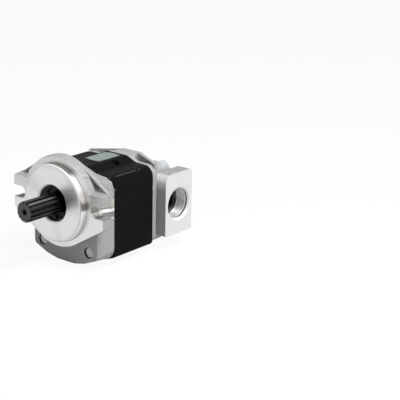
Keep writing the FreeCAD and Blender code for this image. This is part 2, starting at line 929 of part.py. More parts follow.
def shaft_seal_case():
    y0 = seal_front()
    y1 = seal_bore_depth
    inner = seal_bore_radius - seal_wall
    lip_root = seal_bore_radius - seal_lip_reach
    return turned([
        (seal_bore_radius, y0),
        (seal_bore_radius, y1),
        (inner, y1),
        (inner, y0 + seal_wall),
        (lip_root, y0 + seal_wall),
        (lip_root, y0),
    ])


def shaft_seal_lip():
    y0 = seal_front()
    shaft = journal_radius + journal_clearance
    lip = shaft + seal_lip_clearance
    root = seal_bore_radius - seal_lip_reach
    groove = seal_spring_radius - seal_spring_room
    spring_y = seal_spring_y()
    gap = seal_spring_wire + seal_spring_room
    tail_y = spring_y + gap + seal_lip_tail
    return turned([
        (root, y0),
        (root, y0 + seal_lip_web),
        (groove, y0 + seal_lip_web + seal_lip_step),
        (groove, spring_y - gap),
        (groove - gap, spring_y - gap),
        (groove - gap, spring_y + gap),
        (groove, spring_y + gap),
        (groove, tail_y),
        (lip, tail_y),
        (shaft, spring_y),
        (lip + seal_spring_room, y0 + seal_lip_slope),
        (lip + seal_lip_step, y0),
    ])


def seal_spring_y():
    return seal_front() + seal_width * seal_spring_place


def shaft_seal_spring():
    # The closely wound garter spring as one round ring.
    radius = seal_spring_radius - seal_spring_room
    return Part.makeTorus(radius, seal_spring_wire, V(0, seal_spring_y(), 0), Y_AXIS)


def seal_retaining_ring():
    y0 = snap_ring_y()
    y1 = y0 + snap_ring_thickness
    outer = seal_bore_radius + snap_ring_groove_depth
    inner = outer - snap_ring_width
    half_gap = snap_ring_gap / 2.0
    lug_x = half_gap + snap_ring_lug_offset
    lug_z = -math.sqrt((seal_bore_radius - snap_ring_lug_inset) ** 2 - lug_x * lug_x)
    lugs = [cylinder(snap_ring_lug_radius, y0, y1, side * lug_x, lug_z) for side in (-1, 1)]
    body = fused([ring(inner, outer, y0, y1)] + lugs)
    mouth_top = snap_ring_mouth_reach - inner
    cuts = [box(-half_gap, half_gap, y0 - lap, y1 + lap, -outer - lap, mouth_top)]
    cuts += [cylinder(snap_ring_lug_hole, y0 - lap, y1 + lap, side * lug_x, lug_z) for side in (-1, 1)]
    return body.cut(cuts)


# Fasteners and small parts

def through_bolt(x, z):
    head_start = bolt_seat + washer_thickness
    head_end = head_start + bolt_head_height
    tip = (block_front if z < mid_z else flange_thickness) + bolt_tip_recess
    profile = [
        (0, tip),
        (bolt_radius - bolt_tip_chamfer, tip),
        (bolt_radius, tip + bolt_tip_chamfer),
        (bolt_radius, head_start),
        (bolt_head_radius, head_start),
        (bolt_head_radius, head_end - bolt_head_edge),
        (bolt_head_radius - bolt_head_edge, head_end),
        (0, head_end),
    ]
    corner = bolt_socket_flats / math.sqrt(3.0)
    y = head_end - bolt_socket_depth
    angles = [k * math.pi / 3.0 for k in range(7)]
    points = [V(x + corner * math.cos(angle), y, z + corner * math.sin(angle)) for angle in angles]
    socket = Part.Face(Part.makePolygon(points)).extrude(V(0, bolt_socket_depth + lap, 0))
    return turned(profile, x, z).cut(socket)


def bolt_washer(x, z):
    return ring(washer_hole_radius, washer_radius, bolt_seat, bolt_seat + washer_thickness, x, z)


def dowel(joint_y, side):
    half = dowel_length / 2.0
    return ring(dowel_bore_radius, dowel_radius, joint_y - half, joint_y + half, side * dowel_x, mid_z)


def nameplate():
    z = hump_height
    half_x = plate_width / 2.0
    half_y = plate_length / 2.0
    signs = [(-1, -1), (1, -1), (1, 1), (-1, 1)]
    corners = [(V(a * half_x, plate_y + b * half_y, z), plate_corner_radius) for a, b in signs]
    return prism(rounded_wire(corners), V(0, 0, plate_thickness))


def nameplate_rivets():
    z = hump_height + plate_thickness
    rivets = []
    for a in (-1, 1):
        for b in (-1, 1):
            x = a * (plate_width / 2.0 - rivet_inset)
            y = plate_y + b * (plate_length / 2.0 - rivet_inset)
            rivets.append(Part.makeCylinder(rivet_radius, rivet_height, V(x, y, z), V(0, 0, 1)))
    return group(rivets)


os.makedirs("parts", exist_ok=True)
keep("front_cover", front_cover())
keep("gear_housing", gear_housing())
keep("rear_cover", rear_cover())
keep("drive_gear_shaft", drive_gear_shaft())
keep("driven_gear_shaft", driven_gear_shaft())
keep("drive_front_bush", bush(front_joint - bush_length, 0))
keep("driven_front_bush", bush(front_joint - bush_length, -centre_distance))
keep("drive_rear_bush", bush(rear_joint, 0))
keep("driven_rear_bush", bush(rear_joint, -centre_distance))
keep("front_thrust_plate", thrust_plate(front_joint, front_joint, front_joint + pressure_seal_depth))
rear_plate_start = rear_joint - thrust_plate_thickness
keep("rear_thrust_plate", thrust_plate(rear_plate_start, rear_joint, rear_joint - pressure_seal_depth))
keep("front_pressure_seal", pressure_seal(front_joint))
keep("front_seal_backup", pressure_backup(front_joint))
keep("rear_pressure_seal", pressure_seal(rear_joint - pressure_seal_depth))
keep("rear_seal_backup", pressure_backup(rear_joint - pressure_seal_depth))
keep("front_body_seal", joint_groove(front_joint - joint_seal_depth, front_joint))
keep("rear_body_seal", joint_groove(rear_joint, rear_joint + joint_seal_depth))
keep("shaft_seal_case", shaft_seal_case())
keep("shaft_seal_lip", shaft_seal_lip())
keep("shaft_seal_spring", shaft_seal_spring())
keep("seal_retaining_ring", seal_retaining_ring())
keep("through_bolts", group([through_bolt(x, z) for x, z in bolt_places]))
keep("bolt_washers", group([bolt_washer(x, z) for x, z in bolt_places]))
keep("front_dowels", group([dowel(front_joint, side) for side in (-1, 1)]))
keep("rear_dowels", group([dowel(rear_joint, side) for side in (-1, 1)]))
keep("nameplate", nameplate())
keep("nameplate_rivets", nameplate_rivets())
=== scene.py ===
import math

import bmesh
import bpy
from mathutils import Matrix, Vector


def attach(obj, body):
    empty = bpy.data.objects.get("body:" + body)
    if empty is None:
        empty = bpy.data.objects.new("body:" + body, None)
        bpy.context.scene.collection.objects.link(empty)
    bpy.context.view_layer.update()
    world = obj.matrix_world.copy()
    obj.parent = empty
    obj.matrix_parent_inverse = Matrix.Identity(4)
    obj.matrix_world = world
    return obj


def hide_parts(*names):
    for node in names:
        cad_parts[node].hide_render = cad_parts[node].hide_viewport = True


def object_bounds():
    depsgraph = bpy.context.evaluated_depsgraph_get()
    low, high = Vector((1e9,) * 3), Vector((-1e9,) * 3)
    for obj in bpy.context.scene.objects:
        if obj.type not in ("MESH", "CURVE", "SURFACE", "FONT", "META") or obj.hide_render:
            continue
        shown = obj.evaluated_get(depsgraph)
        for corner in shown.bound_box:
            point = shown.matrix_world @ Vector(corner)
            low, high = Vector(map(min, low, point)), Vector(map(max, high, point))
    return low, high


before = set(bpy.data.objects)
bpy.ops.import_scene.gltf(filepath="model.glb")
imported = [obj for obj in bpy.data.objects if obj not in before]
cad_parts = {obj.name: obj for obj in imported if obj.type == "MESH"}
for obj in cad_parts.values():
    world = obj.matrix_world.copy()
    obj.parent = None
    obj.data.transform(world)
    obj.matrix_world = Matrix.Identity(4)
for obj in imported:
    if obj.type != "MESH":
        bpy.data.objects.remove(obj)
cad_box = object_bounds()

MM = 0.001
WHITE = (1, 1, 1)

# Camera: where the photograph was taken from, as azimuth, elevation and roll in degrees
CAMERA_AZIMUTH = 37.88
CAMERA_ELEVATION = 17.52
CAMERA_ROLL = 1.24
CAMERA_DISTANCE = 1245.8 * MM
CAMERA_AIM = Vector((0, 40 * MM, 0))
AIM_PIXEL = (84.19, 193.42)
IMAGE_SIZE = 400.0
PIXELS_PER_METRE = 949.0
SENSOR_WIDTH = 36.0

# Places on the pump that both materials and pieces follow, in millimetres as in the frame
FRONT_JOINT = 31.5
REAR_JOINT = 91.5
PAD_FACE = 61.0
PORT_Y = 123.3
PORT_Z = -18.0
PORT_CHAMFER = 2.0
SUCTION_RADIUS = 16.5
DELIVERY_RADIUS = 13.5
BOLT_X = 33.2
BOLT_RISE = 33.0
PLATE_Y = 68.5


def add_camera():
    azimuth = math.radians(CAMERA_AZIMUTH)
    elevation = math.radians(CAMERA_ELEVATION)
    roll = math.radians(CAMERA_ROLL)
    back = Vector((
        math.sin(azimuth) * math.cos(elevation),
        -math.cos(azimuth) * math.cos(elevation),
        math.sin(elevation),
    ))
    level_right = Vector((math.cos(azimuth), math.sin(azimuth), 0))
    level_up = back.cross(level_right)
    right = level_right * math.cos(roll) + level_up * math.sin(roll)
    up = level_up * math.cos(roll) - level_right * math.sin(roll)
    middle = IMAGE_SIZE / 2
    offset_right = (AIM_PIXEL[0] - middle) / PIXELS_PER_METRE
    offset_up = (AIM_PIXEL[1] - middle) / PIXELS_PER_METRE
    place = CAMERA_AIM - right * offset_right + up * offset_up + back * CAMERA_DISTANCE
    data = bpy.data.cameras.new("camera")
    data.sensor_width = SENSOR_WIDTH
    data.lens = PIXELS_PER_METRE * CAMERA_DISTANCE / IMAGE_SIZE * SENSOR_WIDTH
    camera = bpy.data.objects.new("camera", data)
    bpy.context.scene.collection.objects.link(camera)
    turn = Matrix((right, up, back)).transposed()
    camera.matrix_world = Matrix.Translation(place) @ turn.to_4x4()
    bpy.context.scene.camera = camera


# Node graphs

MIX_FLOAT_SOCKETS = (0, 2, 3)
MIX_COLOUR_SOCKETS = (0, 6, 7)

# A face whose normal lies along an axis has more than this facing
STRAIGHT = 0.9


class Graph:
    """A node tree, with short names for the sums and masks that are built in it."""

    def __init__(self, tree):
        self.tree = tree

    def node(self, kind, **settings):
        node = self.tree.nodes.new(kind)
        for name, value in settings.items():
            setattr(node, name, value)
        return node

    def link(self, value, socket):
        # Joins an output to the socket, or sets the socket to a constant.
        if isinstance(value, bpy.types.NodeSocket):
            self.tree.links.new(value, socket)
        elif isinstance(value, tuple) and len(value) == 3 and socket.type == "RGBA":
            socket.default_value = (*value, 1)
        else:
            socket.default_value = value

    def math(self, operation, first, second=0.0):
        node = self.node("ShaderNodeMath", operation=operation)
        self.link(first, node.inputs[0])
        self.link(second, node.inputs[1])
        return node.outputs["Value"]

    def absolute(self, value):
        return self.math("ABSOLUTE", value)

    def minus(self, value, amount):
        return self.math("SUBTRACT", value, amount)

    def distance(self, first, second):
        squares = [self.math("POWER", value, 2) for value in (first, second)]
        return self.math("SQRT", self.math("ADD", *squares))

    def all_of(self, *masks):
        result = masks[0]
        for mask in masks[1:]:
            result = self.math("MULTIPLY", result, mask)
        return result

    def any_of(self, *masks):
        result = masks[0]
        for mask in masks[1:]:
            result = self.math("MAXIMUM", result, mask)
        return result

    def above(self, value, edge, soft):
        # Mask that rises from 0 to 1 around an edge, over twice the softness.
        node = self.node("ShaderNodeMapRange", interpolation_type="SMOOTHSTEP")
        self.link(value, node.inputs["Value"])
        node.inputs["From Min"].default_value = edge - soft
        node.inputs["From Max"].default_value = edge + soft
        return node.outputs["Result"]

    def below(self, value, edge, soft):
        return self.minus(1.0, self.above(value, edge, soft))

    def between(self, value, edges, soft):
        low, high = edges
        return self.all_of(self.above(value, low, soft), self.below(value, high, soft))

    def spread(self, value, low, high):
        # A value from 0 to 1 laid out between two numbers.
        node = self.node("ShaderNodeMapRange")
        self.link(value, node.inputs["Value"])
        node.inputs["To Min"].default_value = low
        node.inputs["To Max"].default_value = high
        return node.outputs["Result"]

    def mix(self, data_type, sockets, values):
        node = self.node("ShaderNodeMix", data_type=data_type)
        for value, socket in zip(values, sockets):
            self.link(value, node.inputs[socket])
        return node

    def blend(self, factor, first, second):
        return self.mix("FLOAT", MIX_FLOAT_SOCKETS, (factor, first, second)).outputs[0]

    def tint(self, factor, first, second):
        return self.mix("RGBA", MIX_COLOUR_SOCKETS, (factor, first, second)).outputs[2]

    def paint(self, colour, *layers):
        # Each layer is a mask, how strongly it covers, and its colour.
        for mask, strength, layer in layers:
            colour = self.tint(self.all_of(mask, strength), colour, layer)
        return colour

    def seen_directly(self):
        # 1 for rays from the camera and for those that metal or glass sends on.
        path = self.node("ShaderNodeLightPath")
        return self.any_of(
            path.outputs["Is Camera Ray"], path.outputs["Is Glossy Ray"], path.outputs["Is Transmission Ray"])


class Surface(Graph):
    """One procedural material. Its places are millimetres in the frame's own axes."""

    def __init__(self, name):
        self.material = bpy.data.materials.new(name)
        self.material.use_nodes = True
        super().__init__(self.material.node_tree)
        self.shader = self.tree.nodes["Principled BSDF"]
        source = self.node("ShaderNodeTexCoord")
        scale = self.node("ShaderNodeVectorMath", operation="SCALE")
        scale.inputs["Scale"].default_value = 1 / MM
        self.link(source.outputs["Object"], scale.inputs[0])
        self.place = scale.outputs["Vector"]
        self.x, self.y, self.z = self.split(self.place)
        self.facing_x, self.facing_y, self.facing_z = self.split(source.outputs["Normal"])
        self.normal = None

    def split(self, vector):
        node = self.node("ShaderNodeSeparateXYZ")
        self.link(vector, node.inputs[0])
        return node.outputs["X"], node.outputs["Y"], node.outputs["Z"]

    def noise(self, size, detail, stretch=(1, 1, 1), source=None):
        # Grain of about the given size in millimetres, drawn out along an axis by stretch.
        scaled = self.node("ShaderNodeVectorMath", operation="MULTIPLY")
        self.link(source or self.place, scaled.inputs[0])
        scaled.inputs[1].default_value = [1 / (size * share) for share in stretch]
        node = self.node("ShaderNodeTexNoise")
        self.link(scaled.outputs["Vector"], node.inputs["Vector"])
        node.inputs["Scale"].default_value = 1.0
        node.inputs["Detail"].default_value = detail
        return node.outputs["Fac"]

    def around(self):
        # Direction about the shaft axis, for the painted conical reflection bands of a turned face.
        flat = self.node("ShaderNodeVectorMath", operation="MULTIPLY")
        self.link(self.place, flat.inputs[0])
        flat.inputs[1].default_value = (1, 0, 1)
        unit = self.node("ShaderNodeVectorMath", operation="NORMALIZE")
        self.link(flat.outputs["Vector"], unit.inputs[0])
        return unit.outputs["Vector"]

    def bump(self, height, depth):
        # Adds relief of the given depth in millimetres over the relief so far.
        node = self.node("ShaderNodeBump")
        node.inputs["Distance"].default_value = depth * MM
        self.link(height, node.inputs["Height"])
        if self.normal is not None:
            self.link(self.normal, node.inputs["Normal"])
        self.normal = node.outputs["Normal"]

    def finish(self, colour, metallic, roughness):
        self.link(colour, self.shader.inputs["Base Color"])
        self.link(metallic, self.shader.inputs["Metallic"])
        self.link(roughness, self.shader.inputs["Roughness"])
        if self.normal is not None:
            self.link(self.normal, self.shader.inputs["Normal"])
        return self.material


# Aluminium of the covers: cast skin, cut faces, polished edges and painted highlights

CAST_DARK = (0.31, 0.31, 0.31)
CAST_LIGHT = (0.51, 0.507, 0.50)
CAST_STAIN = (0.30, 0.295, 0.28)
CAST_SHADE = (0.20, 0.195, 0.19)
CAST_METALLIC = 0.12
CAST_ROUGHNESS = (0.5, 0.72)
CAST_GRAIN_DEPTH = 0.18
CAST_MOTTLE_DEPTH = 0.2
MACHINED_COLOUR = (0.80, 0.80, 0.805)
MACHINED_MARK_AND_SHADE = (0.60, 0.60, 0.605)
MACHINED_METALLIC = 0.9
MACHINED_ROUGHNESS = (0.26, 0.42)
POLISH_AND_HIGHLIGHT_COLOUR = (0.93, 0.94, 0.955)
POLISHED_METALLIC = 0.3
POLISHED_ROUGHNESS = 0.3


def cast_and_machined(surface, machined, polish_and_highlight, shaded, layers):
    # Cast skin with fine grain and painted shade, cut where the masks say so, with painted reflection bands
    # on cut faces. Layers are further tints over both.
    grain = surface.noise(size=0.55, detail=4.0)
    mottle = surface.noise(size=2.6, detail=3.0)
    stain = surface.noise(size=15.0, detail=2.0)
    scratch = surface.noise(size=1.2, detail=2.0, stretch=(14, 1, 1))
    reflection_bands = surface.noise(size=0.9, detail=1.5, source=surface.around())
    speckle = surface.noise(size=1.0, detail=2.0)
    uneven = surface.math(
        "ADD", surface.spread(mottle, low=-0.25, high=0.75), surface.spread(speckle, low=-0.5, high=1.0))
    cast = surface.paint(
        surface.tint(uneven, CAST_DARK, CAST_LIGHT),
        (surface.above(stain, 0.66, soft=0.1), 0.6, CAST_STAIN),
        (shaded, 1.0, CAST_SHADE))
    marks = surface.all_of(surface.above(scratch, 0.68, soft=0.04), surface.above(stain, 0.5, soft=0.05))
    cut = surface.paint(
        surface.tint(surface.above(reflection_bands, 0.38, soft=0.16), MACHINED_MARK_AND_SHADE, MACHINED_COLOUR),
        (marks, 1.0, MACHINED_MARK_AND_SHADE))
    colour = surface.paint(
        surface.tint(machined, cast, cut),
        (polish_and_highlight, 1.0, POLISH_AND_HIGHLIGHT_COLOUR),
        *layers)
    metallic = surface.blend(machined, CAST_METALLIC, MACHINED_METALLIC)
    metallic = surface.blend(polish_and_highlight, metallic, POLISHED_METALLIC)
    roughness = surface.blend(
        machined, surface.spread(grain, *CAST_ROUGHNESS), surface.spread(scratch, *MACHINED_ROUGHNESS))
    roughness = surface.blend(polish_and_highlight, roughness, POLISHED_ROUGHNESS)
    rough_part = surface.minus(1.0, surface.any_of(machined, polish_and_highlight))
    surface.bump(surface.all_of(grain, rough_part), CAST_GRAIN_DEPTH)
    surface.bump(surface.all_of(mottle, rough_part), CAST_MOTTLE_DEPTH)
    return surface.finish(colour, metallic, roughness)


# Front cover: places in millimetres, and facings, which run from -1 to 1
PILOT_RADIUS = 41.3
PILOT_FACE = -7.5
FLANGE_FRONT = 0.0
FACE_EDGE_SHADE_RADII = (37.1, 38.3)
SEAL_BORE_RADIUS = 19.25
BORE_CHAMFER = 1.2
BLOCK_FRONT = 11.0
ARM_TOP = 17.2
NEAR_ARM_X = 47.0
UPPER_RING_BOTTOM = -2.0
POCKET_FLOOR = (13.6, 14.4)
SHOULDER_FRONT = 14.5
SHOULDER_BOTTOM = 12.0
SHOULDER_FACING = 0.45
SLOT_X = 53.2
SLOT_RADIUS = 6.5
CHANNEL_REACH = 7.4
CHANNEL_END = 29.5
SLOT_HIGHLIGHT_BOTTOM = -6.3
SLOT_HIGHLIGHT_TOP = -2.6
BELOW_CHANNEL_X = 44.0
BELOW_CHANNEL_RUN = (17.0, 31.0)
CHANNEL_SHADE_HEIGHTS = (-12.4, -7.3)
GLINT_HEIGHTS = (-14.2, -12.6)
THREAD_HOLE_RADIUS = 6.0
PILOT_HIGHLIGHT_FACING = -0.15
ROUND_SIDE_FACING = -0.3
TOP_REFLECTION_FACING = 0.82
SIDE_DARK_REFLECTION_FACINGS = (0.0, 0.2)
SIDE_BEIGE_REFLECTION_FACINGS = (0.18, 0.45)

RING_REFLECTION_COLOUR = (0.62, 0.612, 0.60)
ARM_REFLECTION_COLOUR = (0.36, 0.355, 0.35)
ROOT_SHADOW_COLOUR = (0.27, 0.26, 0.25)
TOP_REFLECTION_COLOUR = (0.11, 0.105, 0.09)
SIDE_DARK_REFLECTION_COLOUR = (0.07, 0.062, 0.058)
SIDE_BEIGE_REFLECTION_COLOUR = (0.46, 0.42, 0.37)
CHANNEL_REFLECTION_COLOUR = (0.58, 0.55, 0.49)
HOLE_SHADE_COLOUR = (0.03, 0.03, 0.03)


def front_cover_metal():
    surface = Surface("front cover aluminium")
    x, y, z, facing_y, facing_z = surface.x, surface.y, surface.z, surface.facing_y, surface.facing_z
    all_of, any_of = surface.all_of, surface.any_of
    above, below, between = surface.above, surface.below, surface.between
    radius = surface.distance(x, z)
    out = surface.absolute(x)

    # Cut faces
    facing_front = below(facing_y, -STRAIGHT, soft=0.05)
    facing_aside = above(facing_y, -0.8, soft=0.1)
    before_flange = below(y, FLANGE_FRONT + 0.4, soft=0.2)
    front_face = all_of(facing_front, before_flange)
    joint_face = above(y, FRONT_JOINT - 0.1, soft=0.05)
    bore = all_of(below(radius, SEAL_BORE_RADIUS + 2.0, soft=0.05), above(y, PILOT_FACE, soft=0.1))
    bore_rim = all_of(
        between(radius, (SEAL_BORE_RADIUS + 0.1, SEAL_BORE_RADIUS + BORE_CHAMFER + 0.1), soft=0.1),
        below(y, PILOT_FACE + BORE_CHAMFER, soft=0.1))
    pilot_side = all_of(below(radius, PILOT_RADIUS + 0.3, soft=0.2), before_flange, facing_aside)
    # Painted highlight over the upper part of the pilot's side.
    pilot_highlight = all_of(pilot_side, above(facing_z, PILOT_HIGHLIGHT_FACING, soft=0.12))

    # Slots in the ears and the channels behind them
    slot_wall = all_of(
        between(z, (-CHANNEL_REACH, SLOT_RADIUS + 0.1), soft=0.1),
        above(surface.minus(out, SLOT_X), -CHANNEL_REACH, soft=0.2),
        facing_aside)
    channel_wall = all_of(
        between(y, (CHANNEL_END - 0.2, CHANNEL_END + 0.2), soft=0.05),
        facing_front,
        below(z, 0.0, soft=0.1))
    in_channel = any_of(slot_wall, channel_wall)
    # Painted highlight along the slot wall, a painted reflection above it and painted shade on the floor
    # below it.
    slot_highlight = all_of(in_channel, between(z, (SLOT_HIGHLIGHT_BOTTOM, SLOT_HIGHLIGHT_TOP), soft=0.5))
    channel_reflection = all_of(in_channel, above(z, SLOT_HIGHLIGHT_TOP, soft=0.4))
    channel_floor = all_of(slot_wall, below(z, SLOT_HIGHLIGHT_BOTTOM, soft=0.3))
    below_channel = all_of(between(y, BELOW_CHANNEL_RUN, soft=1.0), above(out, BELOW_CHANNEL_X, soft=0.3))
    channel_shade = all_of(below_channel, between(z, CHANNEL_SHADE_HEIGHTS, soft=0.4))
    glint = all_of(below_channel, between(z, GLINT_HEIGHTS, soft=0.4))

    # Disc, arms and shoulders
    # Painted shade on the pocket floor.
    pocket_shade = all_of(above(z, ARM_TOP + 0.3, soft=0.3), between(y, POCKET_FLOOR, soft=0.1), facing_front)
    # Painted dark reflection on the upper flange ring, darker still on the near arm.
    upper_ring_reflection = all_of(
        above(z, UPPER_RING_BOTTOM, soft=2.5),
        above(radius, PILOT_RADIUS + 0.4, soft=0.2),
        before_flange)
    near_arm_reflection = all_of(upper_ring_reflection, above(x, NEAR_ARM_X, soft=1.5))
    # Painted shade on the shoulder tops.
    shoulder_shade = all_of(
        above(y, SHOULDER_FRONT, soft=0.5),
        above(facing_z, SHOULDER_FACING, soft=0.15),
        above(z, SHOULDER_BOTTOM, soft=3.0))
    bolt_distance = surface.distance(surface.minus(out, BOLT_X), surface.minus(z, PORT_Z - BOLT_RISE))
    # Painted shade on the walls of the threaded holes.
    hole_wall_shade = all_of(
        below(bolt_distance, THREAD_HOLE_RADIUS + 0.2, soft=0.1), above(y, BLOCK_FRONT + 0.05, soft=0.05))

    # Painted shade lines and painted reflections on the pilot
    # Painted shade along the line where the face starts to round, and a painted contact shadow at the pilot's
    # root.
    face_edge_shade = all_of(front_face, between(radius, FACE_EDGE_SHADE_RADII, soft=0.3))
    root_shadow = all_of(between(radius, (PILOT_RADIUS, PILOT_RADIUS + 0.9), soft=0.15), before_flange)
    round_side = all_of(pilot_side, above(facing_y, ROUND_SIDE_FACING, soft=0.1))
    # Painted dark reflections at the top and at the side of the pilot, and a painted beige reflection just
    # above the side one.
    top_dark_reflection = all_of(round_side, above(facing_z, TOP_REFLECTION_FACING, soft=0.06))
    side_dark_reflection = all_of(pilot_side, between(facing_z, SIDE_DARK_REFLECTION_FACINGS, soft=0.07))
    side_beige_reflection = all_of(pilot_side, between(facing_z, SIDE_BEIGE_REFLECTION_FACINGS, soft=0.08))

    machined = any_of(front_face, joint_face, bore, pilot_side)
    # Polished bore rim, with painted highlights on the pilot's side and on the slot walls.
    polish_and_highlight = any_of(pilot_highlight, slot_highlight, bore_rim)
    layers = [
        (shoulder_shade, 0.35, CAST_SHADE),
        (face_edge_shade, 0.45, MACHINED_MARK_AND_SHADE),
        (channel_shade, 0.6, CAST_SHADE),
        (glint, 0.85, POLISH_AND_HIGHLIGHT_COLOUR),
        (upper_ring_reflection, 0.75, RING_REFLECTION_COLOUR),
        (near_arm_reflection, 0.6, ARM_REFLECTION_COLOUR),
        (root_shadow, 0.6, ROOT_SHADOW_COLOUR),
        (top_dark_reflection, 0.9, TOP_REFLECTION_COLOUR),
        (side_beige_reflection, 0.6, SIDE_BEIGE_REFLECTION_COLOUR),
        (side_dark_reflection, 0.9, SIDE_DARK_REFLECTION_COLOUR),
        (channel_reflection, 1.0, CHANNEL_REFLECTION_COLOUR),
        (hole_wall_shade, 1.0, HOLE_SHADE_COLOUR),
        (channel_floor, 0.8, CAST_SHADE),
    ]
    return cast_and_machined(surface, machined, polish_and_highlight, pocket_shade, layers)


# Rear cover: places in millimetres
PAD_ROOT = 45.0
PAD_LIGHT_HEIGHT = 4.0
PAD_SHADE_HEIGHT = 0.0
PAD_ROOF_HEIGHT = 15.0
PORT_CORE_END = 20.0
PORT_SHADE_START = 53.0
BOLT_SEAT = (117.6, 118.4)
ROOF_POCKET_FLOOR = (20.9, 21.9)
ROOF_POCKET_REACH = 34.0

PAD_FRONT_LIGHT = (0.78, 0.78, 0.78)
PORT_WALL_COLOUR = (0.40, 0.40, 0.41)
PORT_SHADE_COLOUR = (0.10, 0.10, 0.10)


def rear_cover_metal():
    surface = Surface("rear cover aluminium")
    y, z, facing_z = surface.y, surface.z, surface.facing_z
    all_of, above, below, between = surface.all_of, surface.above, surface.below, surface.between
    out = surface.absolute(surface.x)
    facing_up = above(facing_z, STRAIGHT, soft=0.05)

    # Cut faces and the ports' bores
    pad_face = above(out, PAD_FACE - 0.2, soft=0.1)
    joint_face = below(y, REAR_JOINT + 0.1, soft=0.05)
    seat = between(y, BOLT_SEAT, soft=0.1)
    port_radius = surface.distance(surface.minus(y, PORT_Y), surface.minus(z, PORT_Z))
    in_port = all_of(
        below(port_radius, SUCTION_RADIUS + PORT_CHAMFER + 0.1, soft=0.05),
        above(out, PORT_CORE_END, soft=0.5),
        below(out, PAD_FACE - 0.1, soft=0.05))
    chamfer = all_of(in_port, above(out, PAD_FACE - PORT_CHAMFER, soft=0.1))
    port_wall = all_of(in_port, below(out, PAD_FACE - PORT_CHAMFER, soft=0.1))
    # Painted shade that deepens into the port.
    port_depth_shade = all_of(port_wall, below(out, PORT_SHADE_START, soft=8.0))

    # Cast faces that the photograph shows lighter or darker
    # Painted shade in the roof pocket, on the lower front of the pad and on the pad's roof; painted light on
    # the upper front of the pad.
    pocket_shade = all_of(
        facing_up, between(z, ROOF_POCKET_FLOOR, soft=0.2), below(out, ROOF_POCKET_REACH, soft=3.0))
    on_pad = all_of(above(out, PAD_ROOT, soft=0.5), below(out, PAD_FACE - 0.3, soft=0.1))
    pad_front = all_of(on_pad, below(surface.facing_y, -0.3, soft=0.3))
    pad_front_painted_light = all_of(pad_front, above(z, PAD_LIGHT_HEIGHT, soft=5.0))
    pad_front_shade = all_of(pad_front, below(z, PAD_SHADE_HEIGHT, soft=5.0))
    pad_roof_shade = all_of(on_pad, facing_up, above(z, PAD_ROOF_HEIGHT, soft=1.0))

    machined = surface.any_of(pad_face, joint_face, seat, port_wall)
    layers = [
        (pad_front_painted_light, 0.75, PAD_FRONT_LIGHT),
        (pad_front_shade, 0.35, CAST_SHADE),
        (pad_roof_shade, 0.35, CAST_SHADE),
        (port_wall, 0.7, PORT_WALL_COLOUR),
        (port_depth_shade, 0.8, PORT_SHADE_COLOUR),
    ]
    return cast_and_machined(surface, machined, chamfer, pocket_shade, layers)


PAINT_DARK = (0.005, 0.005, 0.0055)
PAINT_LIGHT = (0.010, 0.010, 0.0105)
PAINT_SLOPE_SHADE = (0.002, 0.002, 0.002)
PAINT_WORN_AND_HIGHLIGHT = (0.14, 0.14, 0.14)
PAINT_SCUFF = (0.2, 0.2, 0.2)
PAINT_CHIP = (0.45, 0.45, 0.44)
PAINT_SPECULAR = 0.02
WORN_AND_HIGHLIGHT_X = 40.0
WORN_AND_HIGHLIGHT_RUN = (40.0, 80.0)
WORN_AND_HIGHLIGHT_FACINGS = (0.88, 0.94)


def housing_paint():
    # Black paint, worn along the long upper edges where a painted highlight runs too, and chipped at both
    # joints.
    surface = Surface("housing paint")
    grain = surface.noise(size=0.8, detail=4.0)
    wave = surface.noise(size=9.0, detail=3.0)
    chips = surface.noise(size=2.2, detail=4.0)
    scratch = surface.noise(size=0.7, detail=2.0, stretch=(1, 9, 1))
    # Wear and a painted highlight share one narrow band of facing along the upper edges.
    edge_wear_and_highlight = surface.all_of(
        surface.between(surface.facing_z, WORN_AND_HIGHLIGHT_FACINGS, soft=0.02),
        surface.above(surface.absolute(surface.x), WORN_AND_HIGHLIGHT_X, soft=0.5),
        surface.between(surface.y, WORN_AND_HIGHLIGHT_RUN, soft=3.0),
        surface.above(chips, 0.44, soft=0.06))
    front_edge = surface.below(surface.y, FRONT_JOINT + 0.9, soft=0.3)
    rear_edge = surface.above(surface.y, REAR_JOINT - 0.6, soft=0.3)
    corner_chips = surface.all_of(
        surface.any_of(front_edge, rear_edge), surface.above(chips, 0.68, soft=0.03))
    scuffs = surface.all_of(surface.above(scratch, 0.74, soft=0.02), surface.above(wave, 0.56, soft=0.04))
    # Painted shade on the sloping top faces.
    slope_shade = surface.all_of(
        surface.above(surface.absolute(surface.facing_x), 0.04, soft=0.02),
        surface.above(surface.facing_z, 0.6, soft=0.2))
    colour = surface.paint(
        surface.tint(wave, PAINT_DARK, PAINT_LIGHT),
        (slope_shade, 0.5, PAINT_SLOPE_SHADE),
        (edge_wear_and_highlight, 0.4, PAINT_WORN_AND_HIGHLIGHT),
        (scuffs, 0.4, PAINT_SCUFF),
        (corner_chips, 1.0, PAINT_CHIP))
    surface.link(PAINT_SPECULAR, surface.shader.inputs["Specular IOR Level"])
    surface.bump(grain, depth=0.12)
    surface.bump(surface.math("MULTIPLY", corner_chips, -1.0), depth=0.15)
    metallic = surface.all_of(corner_chips, 0.8)
    return surface.finish(colour, metallic, surface.spread(grain, low=0.42, high=0.6))


SPLINE_TIP_RADIUS = 10.9
SPLINE_END = -8.8
SHAFT_END = -46.8
JOURNAL_START = 7.2
SPLINE_DARK = (0.010, 0.010, 0.011)
SPLINE_LIGHT = (0.028, 0.028, 0.029)
LAND_COLOUR = (0.085, 0.085, 0.085)
LIT_LAND_COLOUR = (0.22, 0.22, 0.22)
LIT_LAND_FACINGS = (0.55, 0.9)
SHAFT_END_COLOUR = (0.075, 0.075, 0.073)
JOURNAL_COLOUR = (0.33, 0.33, 0.34)


